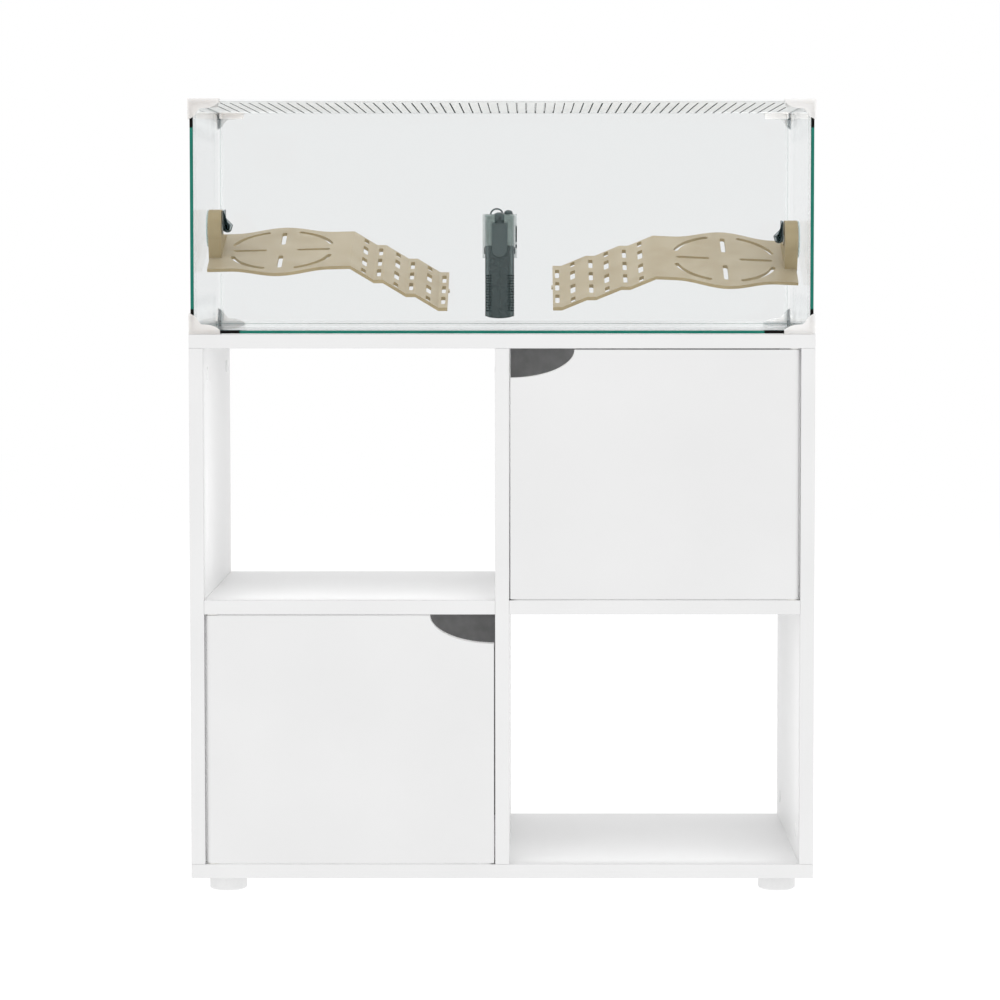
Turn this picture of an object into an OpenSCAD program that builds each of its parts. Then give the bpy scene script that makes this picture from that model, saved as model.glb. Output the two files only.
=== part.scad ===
// Glass turtle terrarium on a two-by-two cube cabinet.
// Origin: middle of the footprint on the floor. +Z up, the front faces -Y, +X is the viewer's right.

/* [Cabinet] */
// Overall width of the cabinet and of the tank with its corner caps
cabinet_w = 800; // [740:5:900]
// Overall depth of the cabinet and of the tank with its corner caps
cabinet_d = 400; // [380:5:460]
// Height of the carcass, without its feet
cabinet_h = 700; // [640:5:800]
// Thickness of every carcass board
board_t = 18; // [16:1:22]
// Height of each foot
foot_h = 20; // [18:1:30]
// Diameter of each foot
foot_d = 48; // [40:1:56]
// Foot centre in from the edges of the bottom board
foot_inset = 44; // [36:1:60]
// Thickness of the two back panels
back_t = 3; // [3:0.5:5]
// Depth of the grooves that hold the back panels
groove_d = 5; // [4:0.5:6]
// Groove in from the rear edge of the boards
back_inset = 12; // [10:1:30]

/* [Cabinet fasteners] */
// Diameter of the cam locks
cam_d = 15; // [12:1:15]
// Cam lock centre in from the end of its board
cam_reach = 34; // [28:1:40]
// Cam locks off the middle of the depth
cam_y = 140; // [120:5:160]
// Diameter of the wooden dowels
dowel_d = 8; // [6:1:8]
// Length of the dowels
dowel_len = 30; // [24:1:34]
// Dowels off the middle of the depth
dowel_y = 100; // [60:5:105]
// Depth of the screw threads and dowels in the face of a board
face_depth = 7.5; // [6:0.5:7.5]

/* [Doors] */
// Thickness of the doors
door_t = 16; // [15:1:18]
// Gap all round each door
door_gap = 1.5; // [1.5:0.1:3]
// Width of the finger cut-out in the corner of each door
cutout_w = 82; // [60:1:110]
// Height of the finger cut-out
cutout_h = 36; // [30:1:60]
// Diameter of the pivot pins
pin_d = 6; // [5:0.5:7]
// Depth of each pin in its door
pin_in_door = 22; // [15:1:30]
// Depth of each pin in its bush
pin_in_bush = 7; // [5:0.5:8]
// Wall of the nylon bushes
bush_wall = 2; // [1.5:0.5:3]
// Length of the magnetic catches
catch_w = 40; // [30:1:50]
// Depth of the magnetic catches, front to back
catch_d = 14; // [12:1:20]
// Height of the magnetic catches
catch_h = 12; // [10:1:15]
// Catch in from the free edge of its door
catch_in = 60; // [50:1:90]

/* [Tank] */
// Height of the tank with its corner caps
tank_h = 300; // [280:5:360]
// Thickness of the five panes
glass_t = 4; // [4:0.5:6]
// Legs of the silicone beads inside the corners
bead = 4; // [3:0.5:6]
// Wall of the corner caps
cap_wall = 2.5; // [2:0.1:4]
// Underside of the lower caps
cap_foot = 1; // [1:0.5:3]
// Top plate of the upper caps
cap_top = 4; // [3.5:0.5:6]
// Reach of a cap along the width and the depth
cap_leg = 40; // [36:1:44]
// Reach of a cap along the height
cap_rise = 27; // [24:1:34]
// Thickness of the black edge gaskets beside the caps
gasket_t = 0.5; // [0.4:0.1:0.8]
// Thickness of the ventilated lid
lid_t = 2.5; // [2:0.1:3]
// Width of the slots in the lid
slot_w = 2; // [1.5:0.1:3]
// Distance from one slot to the next
slot_pitch = 12.3; // [8:0.1:16]
// Slots in from the front edge of the lid
slot_front = 52; // [46:1:70]
// Slots in from the rear edge of the lid and from the rear caps
slot_rear = 10; // [8:1:30]

/* [Islands] */
// Width of the neck and the ramp, front to back
island_d = 128; // [110:1:150]
// Width across the round resting place
bulge_d = 168; // [150:1:190]
// Length of the level platform from the wall
platform_len = 190; // [180:1:210]
// Middle of the round resting place from the wall
bulge_x = 96; // [92:1:110]
// Thickness of the moulding
island_t = 4.5; // [3:0.5:5]
// Mean radius of the ring of slots
ring_r = 68; // [60:1:72]
// Width of the platform slots
ring_slot_w = 6.5; // [4:0.5:7]
// Number of steps in the ramp
steps = 3; // [2:1:3]
// Length of each sloping tread
slope_len = 36.3; // [30:0.1:37]
// Run of each level tread
flat_run = 12; // [10:0.1:14]
// Radius of the round bracket
bracket_r = 25; // [23:0.5:28]
// Thickness of the bracket, from the wall inwards
bracket_t = 17; // [15:0.5:20]
// Cup axis above the platform
cup_rise = 33; // [30:1:40]
// Thickness of the pressed suction cup at its rim
cup_t = 1.8; // [1.2:0.1:2.5]
// Diameter of the cup stud
stud_d = 6; // [5:0.5:7]
// Diameter of the lever pin
lever_pin_d = 3; // [2:0.5:3]
// Left cup axis above the tank's floor
left_axis = 131; // [120:0.5:160]
// Right cup axis above the tank's floor
right_axis = 116.5; // [116:0.5:160]
// Forward tilt of the left island
left_tilt = 21; // [0:1:25]
// Forward tilt of the right island
right_tilt = 25; // [0:1:25]
// Angle at which the left platform rises from its bracket
left_rise = 1.4; // [0:0.1:4]
// Angle at which the right platform rises from its bracket
right_rise = 2.7; // [0:0.1:4]
// Angle of the left ramp's sloping treads
left_slope = 33; // [20:0.5:34]
// Angle of the right ramp's sloping treads
right_slope = 24.5; // [20:0.5:34]

/* [Filter] */
// Width of the filter
filter_w = 40; // [38:1:48]
// Depth of the filter
filter_d = 42; // [40:1:50]
// Middle of the filter off the middle of the tank
filter_x = -6; // [-20:1:20]
// Filter above the tank's floor
filter_lift = 11; // [8:1:30]
// Height of the filter basket
basket_h = 97; // [90:1:110]
// Height of the clear pump head
head_h = 43; // [40:1:50]
// Wall of the basket and the head
filter_wall = 2; // [1.5:0.5:2.5]
// Radius of the basket's upright edges
filter_r = 8; // [6:0.5:9]
// Number of intake slots on each side
intakes = 14; // [8:1:16]
// Distance from one intake slot to the next
intake_pitch = 3.7; // [3.2:0.1:4.2]
// Height of each intake slot
intake_h = 1.6; // [1.2:0.1:2]
// Diameter of the outlet nozzle
nozzle_d = 19; // [16:0.5:20]
// Diameter of the impeller's magnet
magnet_d = 12; // [10:0.5:13]
// Thickness of the clear bracket
holder_t = 2; // [1.5:0.5:3]
// Glass to the clear bracket, the depth of a pressed filter cup
holder_gap = 8; // [6:0.5:10]

/* [Fits] */
// Gap between pieces that move past each other
run_gap = 0.3; // [0.3:0.05:0.4]
// Gap all round a piece that is pushed into its hole
push_gap = 0.1; // [0.05:0.01:0.15]
// Gap between a shaft and its bore
shaft_gap = 0.05; // [0.03:0.01:0.08]

/* [Hidden] */
$fn = 48;
eps = 0.01;
over = 1;

white_board = [0.94, 0.94, 0.94];
white_plastic = [0.9, 0.89, 0.88];
glass_tint = [0.8, 0.92, 0.88, 0.3];
steel = [0.72, 0.73, 0.75];
sand = [0.73, 0.68, 0.58];
slate = [0.27, 0.32, 0.32];

// Carcass levels and places
cell_w = (cabinet_w - 3 * board_t) / 2;
cell_h = (cabinet_h - 3 * board_t) / 2;
z_lower = foot_h + board_t;
z_shelf = z_lower + cell_h;
z_upper = z_shelf + board_t;
z_top = z_upper + cell_h;
z_tank = foot_h + cabinet_h;
side_x = (cabinet_w - board_t) / 2;
inner_x = cabinet_w / 2 - board_t;
front_y = -cabinet_d / 2;
groove_y = cabinet_d / 2 - back_inset - back_t;

// Fastener sizes
cam_depth = board_t / 2 + 3.5;
bolt_r = 3.5;
thread_r = 2.5;
cam_slot = [8, 1.2, 2];
cover_t = 1;
foot_screw_r = 2;
foot_head_r = 4;
foot_head_t = 2.5;
foot_recess = 12;
foot_bite = 12;
foot_edge_r = 3;

// Door places
door_w = cell_w - 2 * door_gap;
door_h = cell_h - 2 * door_gap;
pivot_x = inner_x - door_gap - door_t / 2;
pivot_y = front_y + door_t / 2;
plate_t = 1;
plate_h = catch_h - 2 * door_gap;
free_x = board_t / 2 + door_gap;
catch_x = free_x + catch_in;
catch_y = front_y + door_t + plate_t + run_gap;
bush_r = pin_d / 2 + bush_wall;
flange_t = door_gap - run_gap;
bush_depth = pin_in_bush + 1;
peg_r = 2.5;
peg_len = 8;
magnet_hole_r = 3;

// Tank places
glass_w = cabinet_w - 2 * cap_wall;
glass_d = cabinet_d - 2 * cap_wall;
glass_z = z_tank + cap_foot;
glass_h = tank_h - cap_foot - cap_top;
tank_floor = glass_z + glass_t;
glass_top = glass_z + glass_h;
wall_x = glass_w / 2 - glass_t;
wall_y = glass_d / 2 - glass_t;
cap_corner_r = 12;
leg_end = 5.5;
crook_y = 12.5;
crook_x = 17.5;
neck_x = 11;
lip_drop = 7.5;
lip_t = 1.6;
bead_top_gap = lip_drop + 1;
lid_z = glass_top + run_gap;
lid_gap = 0.5;
slot_span = glass_w - 34;
slots = floor(slot_span / slot_pitch) + 1;

// Island places, in the frame of the cup axis: X from the wall inwards
island_x0 = cup_t + run_gap + 0.2;
platform_z = -cup_rise;
bracket_face = island_x0 + bracket_t;
washer_t = 1;
washer_face = bracket_face + run_gap + washer_t;
cam_r = 5.4;
cam_shift = 0.6;
pin_x = washer_face + cam_r + cam_shift + run_gap;
stud_end = pin_x + stud_d / 2 + 0.5;
lever_w = 16;
thumb_t = 3;
thumb_root = 14;
cam_heel = [6.3, 4.5];
fork_r = 8;
washer_r = stud_d / 2 + 5;
bracket_wall = 3;
bracket_floor = 6;
boss_r = 8;
flange_r = 6;
flange_thick = 2;
cup_dome = bracket_t - 8;
slot_arc = 26;
tread_t = island_t + 0.5;
root_len = 3;
root_skin = 1;
back_step = 1;
nub = [3, 8, 2.5];
edge_holes = 10;

// Filter places, in the filter's own frame: its front at y = 0, its foot at z = 0
filter_back = wall_y - holder_gap - holder_t - run_gap;
filter_z = tank_floor + filter_lift;
boss_w = 21;
boss_out = 1.5;
boss_low = basket_h - 15.5;
boss_top = basket_h + head_h - 12;
motor_r = 14;
motor_y = filter_d / 2 + 3;
neck_r = 7;
nozzle_y = nozzle_d / 2 - 1;
knob_r = 6;
gland_r = 4;
nozzle_bore = 2.4;
sponge_core = 6;
impeller_r = 8.5;
blades = 6;
rib_t = 1.5;
rib_z = basket_h - 11;
rib_h = 9;
rib_d = 9;

// ---------- small shapes used by several pieces ----------

// One Bezier curve as a list of points
function bezier(a, b, c, d, n) = [for (i = [0 : n]) let (t = i / n, u = 1 - t)
    u * u * u * a + 3 * u * u * t * b + 3 * u * t * t * c + t * t * t * d];

// Points of a rectangle with rounded corners, centred on the origin
function round_points(w, d, r, n = 8) = [for (q = [0 : 3], i = [0 : n])
    let (sx = (q == 0 || q == 3) ? 1 : -1, sy = q < 2 ? 1 : -1, a = 90 * q + 90 * i / n)
    [sx * (w / 2 - r) + r * cos(a), sy * (d / 2 - r) + r * sin(a)]];

module block(w, d, h, r) {
    linear_extrude(h) polygon(round_points(w, d, r));
}

module shell(w, d, h, r, wall) {
    difference() {
        block(w, d, h, r);
        translate([0, 0, -over]) block(w - 2 * wall, d - 2 * wall, h + 2 * over, r - wall);
    }
}

// Points of an arc about a centre, from one angle to another
function arc_points(c, r, from, to, n) = [for (i = [0 : n])
    let (a = from + (to - from) * i / n) c + r * [cos(a), sin(a)]];

module rod(r, len) {
    cylinder(r = r, h = len);
}

// ---------- carcass ----------

// The ends of the three uprights: +Z runs into the upright, +X to the face that holds the cams
module upright_ends() {
    for (x = [-side_x, 0, side_x]) for (top = [0, 1]) {
        translate([x, 0, top ? z_top : z_lower])
            mirror([x < 0 ? 0 : 1, 0, 0])
                mirror([0, 0, top]) children();
    }
}

// The ends of the two shelves: +Z runs into the shelf, +X down to its underside
module shelf_ends() {
    for (side = [0, 1]) mirror([side, 0, 0]) for (inner = [0, 1]) {
        translate([inner ? -board_t / 2 : -inner_x, 0, z_shelf + board_t / 2])
            mirror([inner, 0, 0])
                rotate([0, 90, 0]) children();
    }
}

module joint_ends() {
    upright_ends() children();
    shelf_ends() children();
}

module cam_bolt(gap) {
    for (y = [-cam_y, cam_y]) translate([0, y, 0]) {
        translate([0, 0, -face_depth]) rod(thread_r + gap, face_depth + eps);
        rod(bolt_r + gap, cam_reach);
    }
}

module cam_lock(gap) {
    for (y = [-cam_y, cam_y]) translate([board_t / 2 - cam_depth, y, cam_reach])
        rotate([0, 90, 0]) rod(cam_d / 2 + gap, cam_depth + (gap > 0 ? over : 0));
}

module dowel(gap) {
    for (y = [-dowel_y, dowel_y]) translate([0, y, -face_depth])
        translate([0, 0, -gap]) rod(dowel_d / 2 + gap, dowel_len + 2 * gap);
}

module fastener_holes() {
    cam_bolt(push_gap);
    cam_lock(push_gap);
    dowel(push_gap);
}

// Grooves for the back panels of the upper right and the lower left cells
module back_panel_in_cell(margin, thick) {
    for (upper = [0, 1]) mirror([upper ? 0 : 1, 0, 0])
        translate([board_t / 2 - margin, groove_y - (thick - back_t) / 2,
                   (upper ? z_upper : z_lower) - margin])
            cube([cell_w + 2 * margin, thick, cell_h + 2 * margin]);
}

module back_grooves() {
    back_panel_in_cell(groove_d, back_t + 2 * push_gap);
}

module back_panel(upper) {
    color("dimgray") mirror([upper ? 0 : 1, 0, 0])
        translate([board_t / 2 - groove_d + run_gap, groove_y,
                   (upper ? z_upper : z_lower) - groove_d + run_gap])
            cube([cell_w + 2 * (groove_d - run_gap), back_t, cell_h + 2 * (groove_d - run_gap)]);
}

module upper_back_panel() { back_panel(true); }
module lower_back_panel() { back_panel(false); }

// Each door's pivot: the upper door hangs on the right, the lower one on the left
module pivot(upper) {
    mirror([upper ? 0 : 1, 0, 0])
        translate([pivot_x, pivot_y, upper ? z_upper : z_lower]) children();
}

module both_ends_of_cell() {
    children();
    translate([0, 0, cell_h]) mirror([0, 0, 1]) children();
}

module bush_holes() {
    for (upper = [false, true]) pivot(upper) both_ends_of_cell()
        translate([0, 0, -bush_depth - push_gap]) rod(bush_r + push_gap, bush_depth + 2 * push_gap);
}

module hinge_bushes() {
    color("white") for (upper = [false, true]) pivot(upper) both_ends_of_cell() difference() {
        union() {
            translate([0, 0, -bush_depth]) rod(bush_r, bush_depth);
            rod(bush_r + 2, flange_t);
        }
        translate([0, 0, -pin_in_bush]) rod(pin_d / 2 + shaft_gap, bush_depth + over);
    }
}

// Floor of each closed cell, below the free edge of its door
module catch_place(upper) {
    mirror([upper ? 0 : 1, 0, 0])
        translate([catch_x, catch_y, upper ? z_upper : z_lower]) children();
}

module catch_pegs(gap) {
    for (x = [-1, 1]) translate([x * catch_w / 4, catch_d / 2, -peg_len - gap])
        rod(peg_r + gap, peg_len + gap + eps);
}

module magnetic_catches() {
    color("white") for (upper = [false, true]) catch_place(upper) {
        difference() {
            translate([-catch_w / 2, 0, 0]) cube([catch_w, catch_d, catch_h]);
            for (x = [-1, 1])
                translate([x * catch_w * 0.32, catch_d / 2, catch_h - magnet_hole_r])
                    rod(magnet_hole_r, magnet_hole_r + over);
        }
        catch_pegs(0);
    }
}

module catch_holes() {
    for (upper = [false, true]) catch_place(upper) catch_pegs(push_gap);
}

module foot_places() {
    for (x = [-1, 1], y = [-1, 1])
        translate([x * (cabinet_w / 2 - foot_inset), y * (cabinet_d / 2 - foot_inset), 0])
            children();
}

module bottom_board() {
    color(white_board) difference() {
        translate([-cabinet_w / 2, front_y, foot_h]) cube([cabinet_w, cabinet_d, board_t]);
        upright_ends() fastener_holes();
        back_grooves();
        bush_holes();
        catch_holes();
        foot_places() translate([0, 0, foot_h - over])
            rod(foot_screw_r + push_gap, foot_bite + over + push_gap);
    }
}

module top_board() {
    color(white_board) difference() {
        translate([-cabinet_w / 2, front_y, z_top]) cube([cabinet_w, cabinet_d, board_t]);
        upright_ends() fastener_holes();
        back_grooves();
        bush_holes();
    }
}

module upright(x) {
    color(white_board) difference() {
        translate([x - board_t / 2, front_y, z_lower])
            cube([board_t, cabinet_d, z_top - z_lower]);
        joint_ends() fastener_holes();
        back_grooves();
    }
}

module left_side_board() { upright(-side_x); }
module right_side_board() { upright(side_x); }
module centre_upright() { upright(0); }

module shelf(side) {
    color(white_board) difference() {
        translate([side < 0 ? -inner_x : board_t / 2, front_y, z_shelf])
            cube([cell_w, cabinet_d, board_t]);
        shelf_ends() fastener_holes();
        back_grooves();
        bush_holes();
        catch_holes();
    }
}

module left_shelf() { shelf(-1); }
module right_shelf() { shelf(1); }

// Turned plastic foot with a rounded lower edge and a recess for its screw
module feet() {
    rim = foot_d / 2;
    color("white") foot_places() rotate_extrude() polygon(concat(
        [[foot_screw_r + push_gap, foot_h], [foot_screw_r + push_gap, foot_recess],
         [foot_head_r + 1, foot_recess], [foot_head_r + 1, 0]],
        [for (i = [0 : 6])
            [rim - foot_edge_r * (1 - sin(15 * i)), foot_edge_r * (1 - cos(15 * i))]],
        [[rim, foot_h]]));
}

module foot_screws() {
    color(steel) foot_places() translate([0, 0, foot_recess - foot_head_t]) {
        rod(foot_head_r, foot_head_t);
        rod(foot_screw_r, foot_head_t + foot_h - foot_recess + foot_bite);
    }
}

module cam_locks() {
    color(steel) joint_ends() difference() {
        cam_lock(0);
        cam_bolt(push_gap);
        for (y = [-cam_y, cam_y])
            translate([board_t / 2 - cam_slot.z, y - cam_slot.x / 2, cam_reach - cam_slot.y / 2])
                cube([cam_slot.z + over, cam_slot.x, cam_slot.y]);
    }
}

module cam_bolts() {
    color(steel) joint_ends() cam_bolt(0);
}

// Covers over the cams, each with a tongue in the cam's slot
module cam_covers() {
    tongue = cam_slot - 2 * push_gap * [1, 1, 1];
    color(white_plastic) joint_ends() for (y = [-cam_y, cam_y])
        translate([board_t / 2, y, cam_reach]) {
            rotate([0, 90, 0]) rotate_extrude() polygon([
                [0, 0], [cam_d / 2 + cover_t, 0], [cam_d / 2 + cover_t, cover_t / 2],
                [cam_d / 2, cover_t], [0, cover_t]]);
            translate([-tongue.z, -tongue.x / 2, -tongue.y / 2])
                cube([tongue.z + eps, tongue.x, tongue.y]);
        }
}

module dowels() {
    color("burlywood") joint_ends() dowel(0);
}

// ---------- doors ----------

// The door's face: a quarter ellipse is cut from its free upper corner for the fingers
module door_outline() {
    free = -(pivot_x - free_x);
    polygon(concat(
        [[0, 0], [0, door_h]],
        [for (i = [0 : 18]) [free + cutout_w * cos(5 * i), door_h - cutout_h * sin(5 * i)]],
        [[free, 0]]));
}

module door(upper) {
    color(white_board) pivot(upper) translate([0, 0, door_gap]) difference() {
        union() {
            translate([0, door_t / 2, 0]) rotate([90, 0, 0]) linear_extrude(door_t) door_outline();
            rod(door_t / 2, door_h);
        }
        for (z = [-over, door_h - pin_in_door]) translate([0, 0, z])
            rod(pin_d / 2 + shaft_gap, pin_in_door + over);
    }
}

module door_pins(upper) {
    len = pin_in_door + pin_in_bush + flange_t;
    color(steel) pivot(upper) both_ends_of_cell()
        translate([0, 0, door_gap + pin_in_door - len - shaft_gap]) rod(pin_d / 2, len);
}

module strike_plate(upper) {
    color(steel) catch_place(upper)
        translate([-catch_w / 2, -run_gap - plate_t, 2 * door_gap])
            cube([catch_w, plate_t, plate_h]);
}

module upper_door() { door(true); }
module lower_door() { door(false); }
module upper_door_pins() { door_pins(true); }
module lower_door_pins() { door_pins(false); }
module upper_strike_plate() { strike_plate(true); }
module lower_strike_plate() { strike_plate(false); }

// ---------- tank ----------

module pane(x, y, z, w, d, h) {
    color(glass_tint) translate([x, y, z]) cube([w, d, h]);
}

module bottom_glass() {
    pane(-glass_w / 2, -glass_d / 2, glass_z, glass_w, glass_d, glass_t);
}

module left_glass() {
    pane(-glass_w / 2, -glass_d / 2, tank_floor, glass_t, glass_d, glass_h - glass_t);
}

module right_glass() {
    pane(wall_x, -glass_d / 2, tank_floor, glass_t, glass_d, glass_h - glass_t);
}

module front_glass() {
    pane(-wall_x, -glass_d / 2, tank_floor, 2 * wall_x, glass_t, glass_h - glass_t);
}

module back_glass() {
    pane(-wall_x, wall_y, tank_floor, 2 * wall_x, glass_t, glass_h - glass_t);
}

// Three-cornered beads along the upright corners and round the floor
module silicone_beads() {
    corner = [[0, 0], [bead, 0], [0, bead]];
    color("whitesmoke") for (sx = [0, 1], sy = [0, 1]) mirror([sx, 0, 0]) mirror([0, sy, 0]) {
        translate([-wall_x, -wall_y, tank_floor]) {
            linear_extrude(glass_h - glass_t - bead_top_gap) polygon(corner);
            rotate([90, 0, 90]) linear_extrude(wall_x) polygon(corner);
            rotate([0, -90, -90]) linear_extrude(wall_y) polygon(corner);
        }
    }
}

// A corner of the tank: its outermost point is the origin and +X, +Y, +Z run into the tank
module tank_corner(right, back, upper) {
    mirror([right, 0, 0]) mirror([0, back, 0])
        translate([-cabinet_w / 2, front_y, upper ? z_tank + tank_h : z_tank])
            mirror([0, 0, upper]) children();
}

// Black strips on the ends of the panes; the front ones reach out from under the caps
module edge_strips(back, upper) {
    rise = upper ? 10 : 5;
    level = upper ? cap_top : cap_foot;
    tuck = 12;
    low = back ? level + 0.5 : cap_rise - tuck;
    high = back ? level + lip_drop + 1 : cap_rise + rise;
    translate([cap_wall, cap_wall - gasket_t, low]) cube([glass_t, gasket_t, high - low]);
    if (!upper && !back) translate([cap_leg - tuck, cap_wall - gasket_t, level])
        cube([tuck + 25, gasket_t, glass_t]);
}

// An upper cap's inner lip, which holds the panes against the outer faces: long along the
// front or back pane, short along the side pane
module cap_lip() {
    near = cap_wall + glass_t + run_gap;
    far = cap_leg - 1;
    side = near + 0.4 * cap_leg;
    translate([0, 0, 1]) linear_extrude(cap_top + lip_drop - 1) polygon([[near, near], [far, near],
        [far, near + lip_t], [near + lip_t, near + lip_t], [near + lip_t, side], [near, side]]);
}

// The face of a cap: a long leg along X, a short rise along Y and an ogee between them
module cap_face() {
    polygon(concat(
        [[0, 0], [cap_leg, 0]],
        bezier([cap_leg, leg_end], [cap_leg - 6, crook_y - 2.5], [cap_leg - 10, crook_y],
            [crook_x, crook_y], 8),
        bezier([crook_x - 2, crook_y + 1], [neck_x, crook_y + 3.5], [neck_x, cap_rise - 3],
            [0, cap_rise], 8)));
}

module cap(right, back, upper) {
    plate = upper ? cap_top : cap_foot;
    color(white_plastic) tank_corner(right, back, upper) difference() {
        union() {
            translate([0, cap_wall, 0]) rotate([90, 0, 0]) linear_extrude(cap_wall) cap_face();
            rotate([90, 0, 90]) linear_extrude(cap_wall) cap_face();
            linear_extrude(plate) polygon(concat(
                [[0, 0], [cap_leg, 0]],
                [for (i = [0 : 8]) (cap_leg - cap_corner_r) * [1, 1]
                    + cap_corner_r * [cos(11.25 * i), sin(11.25 * i)]],
                [[0, cap_leg]]));
            if (upper) cap_lip();
        }
        edge_strips(back, upper);
    }
}

module cap_lower_front_left() { cap(0, 0, 0); }
module cap_lower_front_right() { cap(1, 0, 0); }
module cap_lower_back_left() { cap(0, 1, 0); }
module cap_lower_back_right() { cap(1, 1, 0); }
module cap_upper_front_left() { cap(0, 0, 1); }
module cap_upper_front_right() { cap(1, 0, 1); }
module cap_upper_back_left() { cap(0, 1, 1); }
module cap_upper_back_right() { cap(1, 1, 1); }

module edge_gaskets() {
    color("black") for (right = [0, 1], back = [0, 1], upper = [0, 1])
        tank_corner(right, back, upper) edge_strips(back, upper);
}

// A slotted sheet that lies on the panes between the upper caps
module vent_lid() {
    notch = cap_leg + lid_gap;
    notch_r = cap_corner_r + lid_gap;
    color("white") translate([0, 0, lid_z]) linear_extrude(lid_t) difference() {
        square([glass_w, glass_d], center = true);
        for (sx = [0, 1], sy = [0, 1]) mirror([sx, 0, 0]) mirror([0, sy, 0])
            translate([-cabinet_w / 2, front_y]) polygon(concat(
                [[-over, -over], [notch, -over]],
                [for (i = [0 : 8]) (notch - notch_r) * [1, 1]
                    + notch_r * [cos(11.25 * i), sin(11.25 * i)]],
                [[-over, notch]]));
        for (i = [0 : slots - 1]) {
            x = (i - (slots - 1) / 2) * slot_pitch;
            beside_cap = abs(x) + 5 > cabinet_w / 2 - notch;
            translate([x - slot_w / 2, slot_front - glass_d / 2]) square([slot_w,
                (beside_cap ? cabinet_d - cap_wall - notch : glass_d) - slot_front - slot_rear]);
        }
    }
}

// ---------- turtle islands ----------

// Places the frame of a cup axis on its wall; the right one is the mirror image
module on_wall(right, tilt) {
    mirror([right, 0, 0])
        translate([-wall_x, 0, tank_floor + (right ? right_axis : left_axis)])
            rotate([tilt, 0, 0]) children();
}

function half_width(x) = island_d / 2
    + (abs(x - bulge_x) < bulge_x - 30
        ? (bulge_d - island_d) / 4 * (1 + cos(180 * (x - bulge_x) / (bulge_x - 30))) : 0);

module platform_outline() {
    xs = [for (i = [0 : 24]) 30 + i * (bulge_x - 30) / 12];
    polygon(concat(
        [[back_step, -island_d / 2]],
        [for (x = xs) [x, -half_width(x)]],
        [[platform_len, -island_d / 2], [platform_len, island_d / 2]],
        [for (i = [len(xs) - 1 : -1 : 0]) [xs[i], half_width(xs[i])]],
        [[back_step, island_d / 2]]));
}

// Four straight slots on the two axes, and between them four slots of a ring
module platform_slots() {
    half = ring_slot_w / 2;
    spoke = 0.65 * ring_r;
    arc = slot_arc;
    end = ring_r * [cos(arc), sin(arc)];
    start = ring_r * [cos(arc), -sin(arc)];
    for (q = [0 : 3]) rotate(90 * q) {
        translate([0.62 * ring_r, 0]) polygon(concat(
            arc_points([spoke / 2 - half, 0], half, -80, 80, 4),
            arc_points([half - spoke / 2, 0], half, 100, 260, 4)));
        rotate(45) polygon(concat(
            arc_points([0, 0], ring_r + half, -arc, arc, 12),
            arc_points(end, half, arc + 40, arc + 140, 2),
            arc_points([0, 0], ring_r - half, arc, -arc, 12),
            arc_points(start, half, 220 - arc, 320 - arc, 2)));
    }
}

// Side view of the ramp: sloping and level treads in turn, rooted in the platform's end
module ramp_profile(run, drop, rise) {
    top = concat(
        [for (i = [0 : steps - 1], end = [0, 1])
            [i * (run + flat_run) + (end ? run : 0), -drop * (i + end)]],
        [[steps * (run + flat_run), -steps * drop]]);
    low = [for (i = [len(top) - 1 : -1 : 0]) top[i] - [0, tread_t]];
    polygon(concat([[-root_len, -root_skin]],
        [for (p = concat(top, low)) [p.x * cos(rise) + p.y * sin(rise),
                                     p.y * cos(rise) - p.x * sin(rise)]],
        [[-root_len, root_skin - island_t]]));
}

// Side view of the web that carries the round bracket and slopes down to the rear edge
module bracket_gusset() {
    front = 1 - bracket_r;
    rear = island_d / 2 - root_len;
    foot = platform_z - island_t / 2;
    polygon([[front, foot], [rear, foot], [rear, platform_z + root_skin], [front, 0]]);
}

// A hole for draining and grip, with rounded corners, through everything below it
module grip_hole(x, y, w, d) {
    reach = steps * slope_len;
    translate([x, y, -reach]) linear_extrude(2 * reach) polygon(round_points(w, d, 1.8, 3));
}

module island(right, tilt, rise, slope) {
    hole_d = 0.2 * island_d;
    run = slope_len * cos(slope);
    drop = slope_len * sin(slope);
    ramp_x = island_x0 + platform_len * cos(rise);
    ramp_z = platform_z + platform_len * sin(rise);
    color(sand) on_wall(right, tilt) difference() {
        union() {
            translate([island_x0, 0, platform_z]) rotate([0, -rise, 0]) {
                translate([0, 0, -island_t]) linear_extrude(island_t) difference() {
                    platform_outline();
                    translate([bulge_x, 0]) platform_slots();
                }
                translate([platform_len, island_d / 2, 0]) rotate([90, 0, 0])
                    linear_extrude(island_d) ramp_profile(run, drop, rise);
            }
            translate([ramp_x + steps * (run + flat_run) - 1, -nub.y / 2,
                       ramp_z - steps * drop - 0.5 - nub.z]) cube(nub);
            translate([island_x0, 0, 0]) rotate([0, 90, 0]) rod(bracket_r, bracket_t);
            translate([island_x0, 0, 0]) rotate([90, 0, 90]) linear_extrude(bracket_t)
                bracket_gusset();
        }
        translate([island_x0 - over, 0, 0]) rotate([0, 90, 0])
            rod(bracket_r - bracket_wall, over + bracket_t - bracket_floor);
        translate([island_x0, 0, 0]) rotate([0, 90, 0])
            rod(stud_d / 2 + shaft_gap, bracket_t + over);
        for (i = [0 : steps - 1]) translate([ramp_x + i * (run + flat_run), 0, ramp_z]) {
            for (s = [-1, 1]) {
                grip_hole(0.55 * run, s * hole_d * 0.82, 6.5, hole_d);
                grip_hole(0.55 * run, s * (island_d / 2 - edge_holes), 6, 0.55 * hole_d);
            }
            for (s = [-1, 0, 1])
                grip_hole(run + flat_run / 2, s * hole_d * 1.5, 5.6, hole_d);
        }
    }
}

module left_island() { island(0, left_tilt, left_rise, left_slope); }
module right_island() { island(1, right_tilt, right_rise, right_slope); }

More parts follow.
